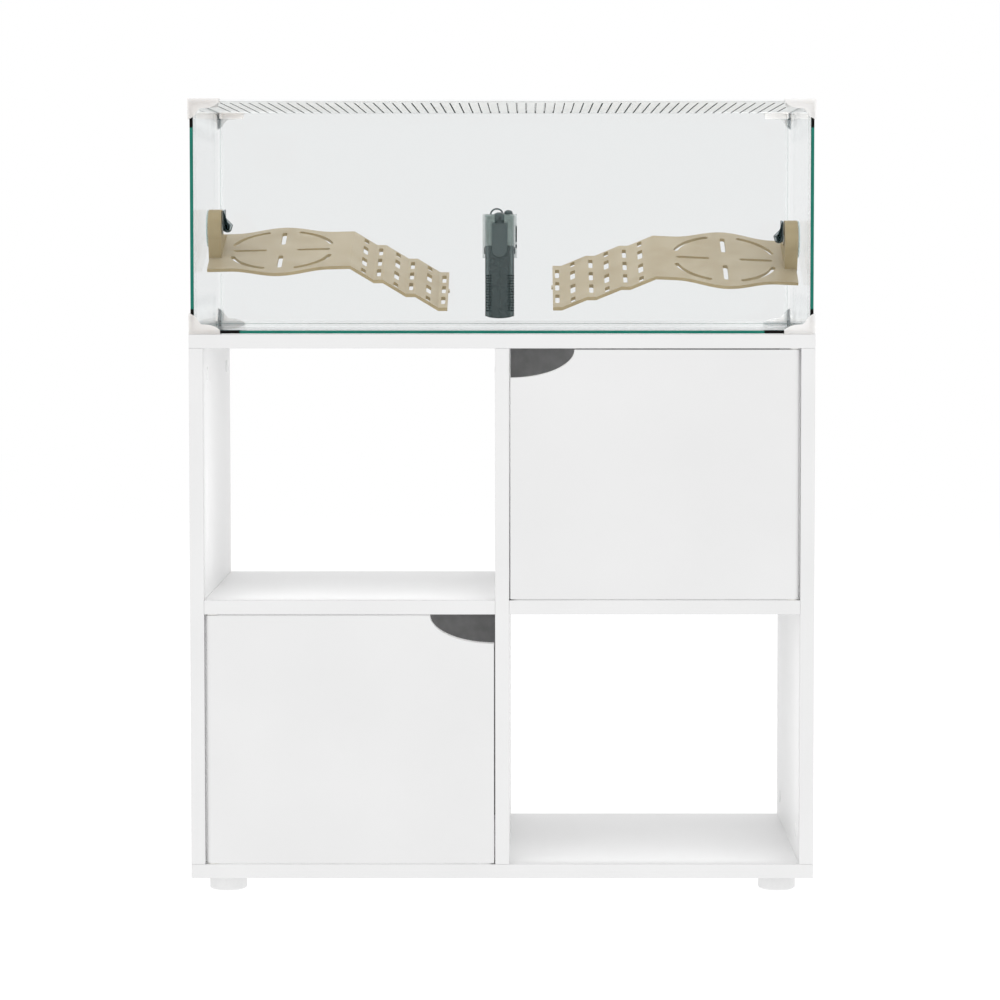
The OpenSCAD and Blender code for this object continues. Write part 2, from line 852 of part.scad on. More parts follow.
module cup_stud() {
    rotate([0, 90, 0]) difference() {
        union() {
            translate([0, 0, cup_t + 1]) rod(flange_r, flange_thick);
            translate([0, 0, cup_t + 1]) rod(stud_d / 2, stud_end - cup_t - 1);
        }
        translate([0, stud_d, pin_x]) rotate([90, 0, 0]) rod(lever_pin_d / 2 + shaft_gap, 2 * stud_d);
    }
}

// A pressed cup: thin rim on the glass, a dome in the bracket's hollow, a boss round the stud
module suction_cup(right) {
    rim = bracket_r - 0.5;
    color([0.75, 0.9, 0.87, 0.5]) on_wall(right, 0) difference() {
        rotate([0, 90, 0]) rotate_extrude() polygon([
            [0, 0], [rim, 0], [rim, cup_t * 0.6], [rim - 4, cup_t], [boss_r + 4, cup_t + 3],
            [boss_r, cup_t + 3], [boss_r, cup_dome], [0, cup_dome]]);
        rotate([0, 90, 0]) {
            translate([0, 0, cup_t + 1]) rod(flange_r + eps, flange_thick + eps);
            translate([0, 0, cup_t + 1]) rod(stud_d / 2 + eps, cup_dome);
        }
    }
}

module left_suction_cup() { suction_cup(0); }
module right_suction_cup() { suction_cup(1); }

module cup_studs() {
    color(steel) for (right = [0, 1]) on_wall(right, 0) cup_stud();
}

module cam_washers() {
    color(steel) for (right = [0, 1]) on_wall(right, 0) translate([washer_face - washer_t, 0, 0])
        rotate([0, 90, 0]) difference() {
            rod(washer_r, washer_t);
            translate([0, 0, -over]) rod(stud_d / 2 + eps, washer_t + 2 * over);
        }
}

module lever_pins() {
    color(steel) for (right = [0, 1]) on_wall(right, 0)
        translate([pin_x, lever_w / 2, 0]) rotate([90, 0, 0]) rod(lever_pin_d / 2, lever_w);
}

// The cam is a forked eccentric; its thumb plate lies up against the bracket when it is closed
module cam_lever(right) {
    fork = stud_d / 2 + run_gap;
    near = -cam_r - cam_shift;
    color(slate) on_wall(right, 0) translate([pin_x, 0, 0]) rotate([90, 0, 0]) difference() {
        translate([0, 0, -lever_w / 2]) linear_extrude(lever_w) polygon(concat(
            [[near, bracket_r - 1], [near + thumb_t, bracket_r], [near + thumb_t, thumb_root],
             cam_heel],
            arc_points([-cam_shift, 0], cam_r, -10, -180, 20)));
        cylinder(r = lever_pin_d / 2 + shaft_gap, h = lever_w + 2 * over, center = true);
        cylinder(r = fork_r, h = 2 * fork, center = true);
    }
}

module left_cam_lever() { cam_lever(0); }
module right_cam_lever() { cam_lever(1); }

// ---------- filter ----------

module in_filter() {
    translate([filter_x, filter_back - filter_d, filter_z]) children();
}

// The U-shaped front of the pump, from its round foot up
module boss(gap) {
    r = boss_w / 2 + gap;
    translate([0, boss_out + filter_wall + 8, 0]) rotate([90, 0, 0])
        translate([0, 0, -gap]) linear_extrude(2 * boss_out + filter_wall + 8 + gap + (gap > 0 ? over : 0)) {
            translate([0, boss_low + boss_w / 2]) circle(r);
            translate([-r, boss_low + boss_w / 2])
                square([2 * r, boss_top - boss_low - boss_w / 2 + gap]);
        }
}

module rib(gap) {
    for (s = [-1, 1]) translate([s * (filter_w / 2 + rib_t / 2 - 0.25), filter_d - rib_d / 2 - 4, rib_z + rib_h / 2])
        cube([rib_t + 0.5 + 2 * gap, rib_d + 2 * gap, rib_h + 2 * gap], center = true);
}

module filter_basket() {
    color(slate) in_filter() difference() {
        union() {
            translate([0, filter_d / 2, 0]) {
                shell(filter_w, filter_d, basket_h, filter_r, filter_wall);
                block(filter_w, filter_d, filter_wall, filter_r);
            }
            rib(0);
        }
        boss(run_gap);
        for (i = [0 : intakes - 1], s = [-1, 1])
            translate([s * (filter_w / 2 - 4), filter_d / 2 - 7, 8 + i * intake_pitch])
                cube([10, filter_d - 10, intake_h], center = true);
    }
}

module filter_sponge() {
    gap = filter_wall + run_gap;
    color("black") in_filter() translate([0, filter_d / 2, gap]) difference() {
        block(filter_w - 2 * gap, filter_d - 2 * gap, boss_low - 2 * gap, filter_r - gap);
        translate([0, 0, 5]) rod(sponge_core, basket_h);
    }
}

module filter_head() {
    skirt = filter_wall + run_gap;
    color([0.6, 0.66, 0.65, 0.5]) in_filter() difference() {
        translate([0, filter_d / 2, 0]) {
            translate([0, 0, basket_h + run_gap])
                shell(filter_w, filter_d, head_h - run_gap, filter_r, filter_wall);
            translate([0, 0, basket_h + head_h - filter_wall])
                block(filter_w, filter_d, filter_wall, filter_r);
            translate([0, 0, basket_h - 5])
                shell(filter_w - 2 * skirt, filter_d - 2 * skirt, 8, filter_r - skirt, 1.5);
            translate([0, 0, basket_h + run_gap]) shell(filter_w - 2, filter_d - 2, 2.7, filter_r - 1, 3);
        }
        boss(push_gap);
        translate([0, nozzle_y, boss_top]) rod(nozzle_d / 2 + 1.2, head_h);
        translate([knob_r * 2, filter_d / 2 + 4, 0]) rod(2 + run_gap, 2 * basket_h);
        translate([0, filter_d - 10, 0]) rod(gland_r / 2 + push_gap, 2 * basket_h);
    }
}

// The sealed motor with the well for the impeller, and the boss that shows at the front
module motor_housing() {
    well = basket_h + 2;
    color(slate) in_filter() difference() {
        union() {
            boss(0);
            translate([0, motor_y, basket_h + 1]) rod(motor_r, head_h - filter_wall - 1 - push_gap);
        }
        translate([0, nozzle_y, boss_top - 8]) rod(neck_r - 2, 9);
        translate([0, motor_y, basket_h - over]) rod(impeller_r + 1, 10 + over);
        translate([0, motor_y, well]) rod(magnet_d / 2 + 0.6, 28.6);
        translate([0, nozzle_y, boss_top]) rod(nozzle_d / 2 + 1.2, head_h);
        translate([0, motor_y, basket_h]) rod(1 + shaft_gap, head_h - 6);
        translate([0, filter_d - 10, basket_h + head_h - filter_wall - 6]) rod(gland_r / 2 + push_gap, 8);
        translate([0, nozzle_y, boss_top - 8 - 2]) rod(2.5, 4);
        translate([knob_r * 2, filter_d / 2 + 4, 0]) rod(2 + run_gap, 2 * basket_h);
    }
}

module impeller_shaft() {
    color("white") in_filter() translate([0, motor_y, basket_h + 2]) rod(1, head_h - 8);
}

module impeller() {
    color("dimgray") in_filter() translate([0, motor_y, basket_h + 3]) difference() {
        union() {
            translate([0, 0, 7]) rod(magnet_d / 2, 20);
            rod(3, 8);
            for (i = [0 : blades - 1]) rotate(i * 360 / blades)
                translate([0, -0.6, 0]) cube([impeller_r, 1.2, 6]);
        }
        translate([0, 0, -over]) rod(1 + shaft_gap, 30);
    }
}

// A dome on a narrow neck; it turns to point the outflow
module outlet_nozzle() {
    dome = nozzle_d / 2;
    color(slate) in_filter() translate([0, nozzle_y, boss_top]) difference() {
        rotate_extrude() polygon(concat(
            [[0, run_gap], [neck_r, run_gap], [neck_r, 2.5], [dome - 1, 2.5], [dome, 4.5],
             [dome, 9]],
            [for (i = [0 : 8]) [dome * cos(11.25 * i), 9 + 6 * sin(11.25 * i)]]));
        translate([0, 0, 6]) rotate([90, 0, 0]) rod(nozzle_bore, dome + over);
        rod(nozzle_bore, 6);
    }
}

module flow_knob() {
    top = basket_h + head_h;
    color(slate) in_filter() translate([knob_r * 2, filter_d / 2 + 4, top]) {
        translate([0, 0, run_gap]) rotate_extrude() polygon(concat(
            [[0, 0], [knob_r, 0], [knob_r, 2]],
            [for (i = [0 : 8]) [knob_r * cos(11.25 * i), 2 + 4 * sin(11.25 * i)]]));
        translate([0, 0, -6]) rod(2, 6.5);
    }
}

// A strap that arches up from the rear of the head's top
module lift_handle() {
    span = 19;
    rise = 9;
    thick = 2.2;
    outer = [for (i = [0 : 12]) [span / 2 * cos(15 * i), rise * sin(15 * i)]];
    inner = [for (i = [12 : -1 : 0])
        [(span / 2 - thick) * cos(15 * i), (rise - thick) * sin(15 * i)]];
    color(slate) in_filter() translate([-4, filter_d / 2 + 6, basket_h + head_h])
        rotate([90, 0, 0]) linear_extrude(5) polygon(concat(outer, inner));
}

module cable_gland() {
    color("black") in_filter() translate([0, filter_d - 10, basket_h + head_h]) {
        translate([0, 0, -filter_wall - 4]) rod(gland_r / 2, filter_wall + 5);
        rod(gland_r, 3);
    }
}

// Clear cradle: a back plate with two cheeks whose ledges carry the ribs of the basket
module filter_holder() {
    cheek_in = filter_w / 2 + rib_t + run_gap;
    plate_w = 2 * (cheek_in + holder_t);
    low = rib_z - 6;
    high = basket_h + 44;
    color([0.85, 0.9, 0.9, 0.4]) in_filter() difference() {
        union() {
            translate([-plate_w / 2, filter_d + run_gap, low]) cube([plate_w, holder_t, high - low]);
            for (s = [-1, 1]) {
                translate([s * (cheek_in + holder_t / 2), filter_d - 6 + run_gap / 2, (low + high) / 2])
                    cube([holder_t, 12 + run_gap, high - low], center = true);
                translate([s * (cheek_in - 0.5), filter_d - 6 + run_gap / 2, low + 3 - run_gap / 2])
                    cube([1 + 2 * eps, 12 + run_gap, 6 - run_gap], center = true);
            }
        }
        for (z = cup_levels()) translate([0, filter_d, z]) rotate([-90, 0, 0])
            rod(3 + push_gap, holder_t + over);
    }
}

function cup_levels() = [basket_h + 2, basket_h + 32];

// Clear cups pressed against the rear pane, each buttoned through the back plate
module filter_cups() {
    back = filter_d + run_gap + holder_t;
    color([0.8, 0.9, 0.88, 0.5]) in_filter() for (z = cup_levels())
        translate([0, back, z]) rotate([-90, 0, 0]) {
            rotate_extrude() polygon([
                [0, 0], [4.5, 0], [4.5, 3], [13, holder_gap - 1.2], [13, holder_gap],
                [0, holder_gap]]);
            translate([0, 0, -holder_t + 0.3]) rod(3, holder_t);
        }
}

top_board();
bottom_board();
left_side_board();
right_side_board();
centre_upright();
left_shelf();
right_shelf();
upper_back_panel();
lower_back_panel();
feet();
foot_screws();
cam_locks();
cam_bolts();
cam_covers();
dowels();
hinge_bushes();
magnetic_catches();
upper_door();
upper_door_pins();
upper_strike_plate();
lower_door();
lower_door_pins();
lower_strike_plate();
bottom_glass();
front_glass();
back_glass();
left_glass();
right_glass();
silicone_beads();
edge_gaskets();
cap_lower_front_left();
cap_lower_front_right();
cap_lower_back_left();
cap_lower_back_right();
cap_upper_front_left();
cap_upper_front_right();
cap_upper_back_left();
cap_upper_back_right();
vent_lid();
left_island();
left_suction_cup();
left_cam_lever();
right_island();
right_suction_cup();
right_cam_lever();
cup_studs();
cam_washers();
lever_pins();
filter_holder();
filter_cups();
filter_basket();
filter_sponge();
filter_head();
motor_housing();
impeller_shaft();
impeller();
outlet_nozzle();
flow_knob();
lift_handle();
cable_gland();
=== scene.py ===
from math import cos, pi, radians, sin

import bmesh
import bpy
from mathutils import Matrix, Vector


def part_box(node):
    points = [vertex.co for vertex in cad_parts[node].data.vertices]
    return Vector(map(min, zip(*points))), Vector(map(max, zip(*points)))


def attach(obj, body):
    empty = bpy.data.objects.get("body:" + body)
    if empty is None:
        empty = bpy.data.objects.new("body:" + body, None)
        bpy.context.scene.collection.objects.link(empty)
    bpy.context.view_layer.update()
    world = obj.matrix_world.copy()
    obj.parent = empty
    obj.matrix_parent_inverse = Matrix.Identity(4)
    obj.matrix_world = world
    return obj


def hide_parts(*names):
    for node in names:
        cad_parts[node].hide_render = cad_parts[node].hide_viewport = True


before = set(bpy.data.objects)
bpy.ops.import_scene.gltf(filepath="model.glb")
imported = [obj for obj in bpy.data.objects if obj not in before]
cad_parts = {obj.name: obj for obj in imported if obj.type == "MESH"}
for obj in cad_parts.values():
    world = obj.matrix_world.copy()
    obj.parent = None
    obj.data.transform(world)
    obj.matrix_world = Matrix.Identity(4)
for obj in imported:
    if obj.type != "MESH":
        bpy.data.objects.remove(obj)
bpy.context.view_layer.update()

# ---------------------------------------------------------------------------------------------
# Studio. The camera stands four and a half metres in front, a little above the tank's floor,
# and dips by three degrees, with a long lens. A white room, a lit white floor and broad soft
# lights leave hardly any shadow.
camera_data = bpy.data.cameras.new("camera")
camera_data.lens = 123.6
camera_data.shift_x = -0.0286
camera_data.shift_y = -0.06
camera_data.clip_end = 60
camera = bpy.data.objects.new("camera", camera_data)
camera.location = (0.0339, -4.5806, 0.8299)
camera.rotation_euler = (radians(90 - 3.2), 0, 0)
bpy.context.scene.collection.objects.link(camera)
bpy.context.scene.camera = camera
bpy.context.scene.view_settings.view_transform = "Standard"

world = bpy.data.worlds.new("white_room")
world.use_nodes = True
world.node_tree.nodes["Background"].inputs["Color"].default_value = (1, 1, 1, 1)
world.node_tree.nodes["Background"].inputs["Strength"].default_value = 1.0
bpy.context.scene.world = world


def soft_light(name, position, target, size, power):
    """A broad area light, size wide and high, that faces a point. Only its light is seen."""
    light = bpy.data.lights.new(name, "AREA")
    light.shape = "RECTANGLE"
    light.size, light.size_y = size
    light.energy = power
    lamp = bpy.data.objects.new(name, light)
    lamp.location = position
    lamp.rotation_euler = (Vector(target) - Vector(position)).to_track_quat("-Z", "Y").to_euler()
    lamp.visible_camera = False
    lamp.visible_glossy = False
    bpy.context.scene.collection.objects.link(lamp)


soft_light("top_light", (0, -0.3, 3.4), (0, 0, 0), (3.0, 3.0), 10)
soft_light("front_light", (-1.2, -4.0, 2.2), (0, 0, 0.5), (2.5, 2.5), 4)
# Fill for the open cells, from their own mouths, and for the panels behind the doors' cut-outs
soft_light("upper_cell_fill", (-0.196, -0.19, 0.54), (-0.196, 0.2, 0.54), (0.34, 0.3), 0.27)
soft_light("lower_cell_fill", (0.196, -0.19, 0.2), (0.196, 0.2, 0.2), (0.34, 0.3), 0.2)
soft_light("upper_panel_fill", (0.22, -0.1, 0.6), (0.04, 0.19, 0.66), (0.2, 0.16), 0.42)
soft_light("lower_panel_fill", (-0.22, -0.1, 0.25), (-0.04, 0.19, 0.31), (0.2, 0.16), 0.38)
# Fill inside the tank, from behind the front pane and into the rear corners and their feet
soft_light("tank_front_fill", (0, -0.185, 0.87), (0, 0.2, 0.87), (0.76, 0.26), 0.2)
soft_light("left_corner_fill", (-0.34, 0.12, 0.862), (-0.36, 0.3, 0.85), (0.1, 0.26), 0.15)
soft_light("right_corner_fill", (0.34, 0.12, 0.862), (0.36, 0.3, 0.84), (0.1, 0.26), 0.16)
soft_light("left_foot_fill", (-0.35, 0.13, 0.752), (-0.37, 0.2, 0.735), (0.08, 0.03), 0.012)
soft_light("right_foot_fill", (0.35, 0.13, 0.752), (0.37, 0.2, 0.735), (0.08, 0.03), 0.03)
# Light in the gaps round the doors: onto the side boards at the pins, and onto the level faces
soft_light("upper_pin_gap", (0.37, -0.166, 0.54), (0.382, -0.17, 0.54), (0.034, 0.31), 0.03)
soft_light("lower_pin_gap", (-0.37, -0.166, 0.2), (-0.382, -0.17, 0.2), (0.034, 0.31), 0.03)
soft_light("upper_foot_gap", (0.1955, -0.1925, 0.3804), (0.1955, -0.1925, 0), (0.36, 0.012), 0.0075)
soft_light("lower_foot_gap", (-0.1955, -0.1925, 0.0394), (-0.1955, -0.1925, 0), (0.36, 0.012),
           0.0075)
soft_light("lower_head_gap", (-0.1955, -0.1925, 0.3608), (-0.1955, -0.1925, 0), (0.36, 0.012),
           0.007)
# Fill inside the tank, from under the lid and from the floor pane
soft_light("tank_top_fill", (0, 0, 1.01), (0, 0, 0.7), (0.74, 0.36), 0.65)
soft_light("tank_floor_fill", (0, 0, 0.728), (0, 0, 1.0), (0.74, 0.36), 0.6)


def wire(tree, socket, value):
    """Sets a shader's socket to a number or a colour, or links it to another node's output."""
    if isinstance(value, bpy.types.NodeSocket):
        tree.links.new(value, socket)
    else:
        socket.default_value = value


def mapped(tree, value, from_low, from_high, to_low=0, to_high=1):
    """The output of a node that turns a value from one range into another and holds its ends."""
    node = tree.nodes.new("ShaderNodeMapRange")
    wire(tree, node.inputs["Value"], value)
    wire(tree, node.inputs["From Min"], from_low)
    wire(tree, node.inputs["From Max"], from_high)
    wire(tree, node.inputs["To Min"], to_low)
    wire(tree, node.inputs["To Max"], to_high)
    return node.outputs["Result"]


# The floor glows a little more round the cabinet, and far off it is as bright as the room.
FLOOR_HALF = 9
GLOW_NEAR = 0.96
GLOW_FAR = 0.85
NEAR_REACH = 2.5
FAR_REACH = 6.0

floor_mesh = bpy.data.meshes.new("floor")
floor_mesh.from_pydata([(-FLOOR_HALF, -FLOOR_HALF, 0), (FLOOR_HALF, -FLOOR_HALF, 0),
                        (FLOOR_HALF, FLOOR_HALF, 0), (-FLOOR_HALF, FLOOR_HALF, 0)],
                       [], [(0, 1, 2, 3)])
floor = bpy.data.objects.new("floor", floor_mesh)
bpy.context.scene.collection.objects.link(floor)
floor_paint = bpy.data.materials.new("floor_paint")
floor_paint.use_nodes = True
floor_tree = floor_paint.node_tree
floor_shader = floor_tree.nodes["Principled BSDF"]
floor_shader.inputs["Base Color"].default_value = (0.15, 0.15, 0.15, 1)
floor_shader.inputs["Roughness"].default_value = 0.9
floor_shader.inputs["Specular IOR Level"].default_value = 0
floor_shader.inputs["Emission Color"].default_value = (1, 1, 1, 1)
floor_point = floor_tree.nodes.new("ShaderNodeTexCoord")
floor_reach = floor_tree.nodes.new("ShaderNodeVectorMath")
floor_reach.operation = "LENGTH"
wire(floor_tree, floor_reach.inputs[0], floor_point.outputs["Object"])
wire(floor_tree, floor_shader.inputs["Emission Strength"],
     mapped(floor_tree, floor_reach.outputs["Value"], NEAR_REACH, FAR_REACH, GLOW_NEAR, GLOW_FAR))
floor_mesh.materials.append(floor_paint)

# ---------------------------------------------------------------------------------------------
# Carcass boards. Melamine-faced particle board, cut to size, with a thin edge band ironed on and
# its corners broken by a scraper. Cam locks and dowels pull the ends together.
BOARD_ARRIS = 0.0007


def linear(colour):
    """Turns a screen colour, 0 to 255, into the linear one that a shader takes."""
    return (*(((c / 255 + 0.055) / 1.055) ** 2.4 if c > 10 else c / 255 / 12.92
              for c in colour), 1)


# Where on the noise the mottle's two colours lie, and how fine the noises are drawn
MOTTLE_SPAN = (0.3, 0.7)
MOTTLE_DETAIL = 5
TEXTURE_DETAIL = 3
RELIEF_STRENGTH = 0.6


def finish(name, dark, light, grain, rough, bump=0.0, fine=1500, **sockets):
    """A shader whose colour, gloss and surface vary as those of a real finish do.
    dark and light are the ends of the colour's mottle and rough those of the roughness. grain
    and fine are the spots per metre of the mottle and of the texture, and bump is its height."""
    material = bpy.data.materials.new(name)
    material.use_nodes = True
    tree = material.node_tree
    shader = tree.nodes["Principled BSDF"]
    point = tree.nodes.new("ShaderNodeTexCoord").outputs["Object"]
    mottle = tree.nodes.new("ShaderNodeTexNoise")
    mottle.inputs["Scale"].default_value = grain
    mottle.inputs["Detail"].default_value = MOTTLE_DETAIL
    wire(tree, mottle.inputs["Vector"], point)
    tone = tree.nodes.new("ShaderNodeValToRGB")
    tone.name = "tone"
    for stop, share, colour in zip(tone.color_ramp.elements, MOTTLE_SPAN, (dark, light)):
        stop.position = share
        stop.color = linear(colour)
    wire(tree, tone.inputs["Fac"], mottle.outputs["Fac"])
    wire(tree, shader.inputs["Base Color"], tone.outputs["Color"])
    wire(tree, shader.inputs["Roughness"], mapped(tree, mottle.outputs["Fac"], 0, 1, *rough))
    if bump:
        texture = tree.nodes.new("ShaderNodeTexNoise")
        texture.inputs["Scale"].default_value = fine
        texture.inputs["Detail"].default_value = TEXTURE_DETAIL
        wire(tree, texture.inputs["Vector"], point)
        relief = tree.nodes.new("ShaderNodeBump")
        relief.inputs["Strength"].default_value = RELIEF_STRENGTH
        relief.inputs["Distance"].default_value = bump
        wire(tree, relief.inputs["Height"], texture.outputs["Fac"])
        wire(tree, shader.inputs["Normal"], relief.outputs["Normal"])
    for socket, value in sockets.items():
        shader.inputs[socket.replace("_", " ")].default_value = value
    return material


# Faces that turn by fewer degrees than this are shaded as one round surface.
ROUND_TURN = 35


def place(name, solid, materials, body, slot, *nodes):
    """Turns a bmesh into a piece that rides on a body and stands for CAD nodes."""
    bmesh.ops.recalc_face_normals(solid, faces=solid.faces)
    for edge in solid.edges:
        edge.smooth = len(edge.link_faces) != 2 or edge.calc_face_angle(0) < radians(ROUND_TURN)
    for face in solid.faces:
        face.smooth = True
    mesh = bpy.data.meshes.new(name)
    solid.to_mesh(mesh)
    solid.free()
    for material in materials if isinstance(materials, list) else [materials]:
        mesh.materials.append(material)
    piece = bpy.data.objects.new(name, mesh)
    bpy.context.scene.collection.objects.link(piece)
    flatten = piece.modifiers.new("flat_faces", "WEIGHTED_NORMAL")
    flatten.keep_sharp = True
    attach(piece, body)
    if nodes:
        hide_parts(*nodes)


def round_edges(solid, width, sharp=30, segments=2):
    """Rounds every edge of a bmesh at which its faces turn by more than sharp degrees."""
    edges = [e for e in solid.edges
             if len(e.link_faces) == 2 and e.calc_face_angle(0) > radians(sharp)]
    bmesh.ops.bevel(solid, geom=edges, offset=width, offset_type="OFFSET", segments=segments,
                    profile=0.5, affect="EDGES", clamp_overlap=True)
    return solid


def cuboid(low, high):
    """A box between two corners, as a bmesh."""
    solid = bmesh.new()
    bmesh.ops.create_cube(solid, size=1)
    for vertex in solid.verts:
        vertex.co = [high[k] if vertex.co[k] > 0 else low[k] for k in range(3)]
    return solid


melamine = finish("melamine", (228, 228, 228), (232, 232, 232), 6, (0.38, 0.5), 0.00003, 900,
                  Specular_IOR_Level=0.4)
for node in ("bottom_board", "left_side_board", "centre_upright", "right_side_board",
             "left_shelf", "right_shelf", "top_board"):
    place(node + "_faced", round_edges(cuboid(*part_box(node)), BOARD_ARRIS), melamine,
          "cabinet_and_tank", "white_board", node)

# ---------------------------------------------------------------------------------------------
# Back panels. Thin hardboard, grey on both faces with its fibres showing, slid into grooves
# behind the two cells that have doors.
HARDBOARD_ARRIS = 0.0003

hardboard = finish("hardboard", (112, 112, 112), (124, 124, 124), 90, (0.6, 0.75), 0.00006, 1400)
for node in ("upper_back_panel", "lower_back_panel"):
    place(node + "_sheet", round_edges(cuboid(*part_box(node)), HARDBOARD_ARRIS), hardboard,
          "cabinet_and_tank", "grey_hardboard", node)

# ---------------------------------------------------------------------------------------------
# Feet and fasteners. Four moulded feet are screwed up into the bottom board. Zinc cams turned
# in the boards draw on screwed bolts, and fluted beech dowels keep the faces level.
FOOT_EDGE = 0.0012
# Corners nearer than this are one, and faces that turn by fewer degrees than this are one.
JOIN_DISTANCE = 0.00002
FLAT_TURN = 0.5


def copy_of(node):
    """A CAD solid as a bmesh of whole flat faces, with its triangles joined up."""
    solid = bmesh.new()
    solid.from_mesh(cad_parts[node].data)
    bmesh.ops.remove_doubles(solid, verts=solid.verts, dist=JOIN_DISTANCE)
    bmesh.ops.dissolve_limit(solid, angle_limit=radians(FLAT_TURN), verts=solid.verts,
                             edges=solid.edges)
    return solid


def softened(name, node, width, material, body, slot):
    """A copy of a CAD solid with its sharp edges rounded, which stands for it."""
    place(name, round_edges(copy_of(node), width), material, body, slot, node)


def dress(material, *nodes):
    """Gives CAD nodes that show as they are a finish of their own."""
    for node in nodes:
        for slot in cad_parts[node].material_slots:
            slot.material = material


foot_plastic = finish("foot_plastic", (226, 226, 226), (232, 232, 232), 40, (0.4, 0.55),
                      0.00004, 1200)
softened("feet_moulded", "feet", FOOT_EDGE, foot_plastic, "cabinet_and_tank", "white_foot")
zinc_plate = finish("zinc_plate", (150, 150, 148), (188, 188, 184), 300, (0.3, 0.45), 0.00003,
                    2500, Metallic=1.0)
dress(zinc_plate, "cam_locks", "foot_screws", "cam_bolts")
cover_plastic = finish("cover_plastic", (222, 222, 222), (227, 227, 227), 120, (0.4, 0.5))
dress(cover_plastic, "cam_covers")
beech_wood = finish("beech_wood", (190, 150, 105), (214, 178, 132), 250, (0.6, 0.75), 0.0001, 900)
dress(beech_wood, "dowels")

# ---------------------------------------------------------------------------------------------
# Door fittings. Steel pins turn in nylon bushes pressed into the boards above and below, and
# a magnetic catch holds a strike plate on the back of each door.
nylon = finish("nylon", (226, 225, 220), (233, 232, 228), 120, (0.35, 0.5), 0.00002, 2000)
bright_steel = finish("bright_steel", (168, 170, 172), (205, 207, 209), 400, (0.18, 0.32),
                      0.00001, 3000, Metallic=1.0)
dress(nylon, "hinge_bushes", "magnetic_catches")
dress(bright_steel, "upper_door_pins", "lower_door_pins", "upper_strike_plate",
      "lower_strike_plate")

# ---------------------------------------------------------------------------------------------
# Doors. Lacquered board with a quarter ellipse cut from the free upper corner for the fingers,
# and a half-round edge at the pins so that the door clears the carcass as it swings.
CUT_WIDTH = 0.082
CUT_HEIGHT = 0.036
CUT_STEPS = 18
NOSE_STEPS = 10
DOOR_ARRIS = 0.0008

lacquer = finish("lacquer", (226, 226, 226), (230, 230, 230), 5, (0.3, 0.42), 0.00002, 700,
                 Specular_IOR_Level=0.45)


def door(upper):
    """One door. The free edge is nearer the middle, and the bull nose is at the side board."""
    name = "upper_door" if upper else "lower_door"
    low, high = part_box(name)
    side = 1 if upper else -1
    free, nose = (low.x, high.x) if upper else (high.x, low.x)
    thick = high.y - low.y
    radius = thick / 2
    cut = [(free + side * CUT_WIDTH * cos(pi / 2 * i / CUT_STEPS),
            high.z - CUT_HEIGHT * sin(pi / 2 * i / CUT_STEPS)) for i in range(CUT_STEPS + 1)]
    # The outline runs round the face, and the bull nose is a fan of strips along its far edge.
    outline = [(nose - side * radius, low.z), (free, low.z)] + cut[::-1] \
        + [(nose - side * radius, high.z)]
    solid = bmesh.new()
    front = [solid.verts.new((x, low.y, z)) for x, z in outline]
    back = [solid.verts.new((x, high.y, z)) for x, z in outline]
    solid.faces.new(front)
    solid.faces.new(back[::-1])
    for i in range(len(outline) - 1):
        solid.faces.new((front[i], front[i + 1], back[i + 1], back[i]))
    rows = [(front[0], front[-1])]
    for k in range(1, NOSE_STEPS):
        turn = pi * k / NOSE_STEPS
        x = nose - side * radius + side * radius * sin(turn)
        y = low.y + radius - radius * cos(turn)
        rows.append((solid.verts.new((x, y, low.z)), solid.verts.new((x, y, high.z))))
    rows.append((back[0], back[-1]))
    for (a, b), (c, d) in zip(rows, rows[1:]):
        solid.faces.new((a, b, d, c))
    solid.faces.new([row[0] for row in rows])
    solid.faces.new([row[1] for row in rows])
    bmesh.ops.recalc_face_normals(solid, faces=solid.faces)
    place(name + "_lacquered", round_edges(solid, DOOR_ARRIS, sharp=50), lacquer, name,
          "door_white", name)


door(True)
door(False)

# ---------------------------------------------------------------------------------------------
# Tank glass. Five float panes with ground edges: the floor pane, and four walls that stand on
# it. Float glass is clear through its face and dark green along its edges.
GLASS_ARRIS = 0.0003
# A pane's broad faces look this much along its thickness, and the arrises of its top, which
# are as clear as the faces, look at least this much upwards.
BROAD_LOOK = 0.9
ARRIS_RISE = 0.5
GLASS_COVER = 0.054
RIM_MIRROR = 0.85
SILVER = (0.93, 0.95, 0.95, 1)
GLANCE_POWER = 5
SILVER_GLANCE = 0.25
# The rim's mirror starts and is full this far above and below the walls' middle height. It
# starts and is full in front of these places, so that the rear seams show through the walls.
MIDDLE_Z = 0.87
RIM_START = 0.10
RIM_FULL = 0.12
REAR_START = 0.152
REAR_FULL = 0.146


def worked(tree, operation, *values):
    """The output of a node that does a sum with numbers or other nodes' outputs."""
    node = tree.nodes.new("ShaderNodeMath")
    node.operation = operation
    for socket, value in zip(node.inputs, values):
        wire(tree, socket, value)
    return node.outputs["Value"]


def mixed(tree, share, first, second):
    """The output of a node that goes from one colour to another as its share rises to 1."""
    node = tree.nodes.new("ShaderNodeMixRGB")
    wire(tree, node.inputs["Fac"], share)
    wire(tree, node.inputs["Color1"], first)
    wire(tree, node.inputs["Color2"], second)
    return node.outputs["Color"]


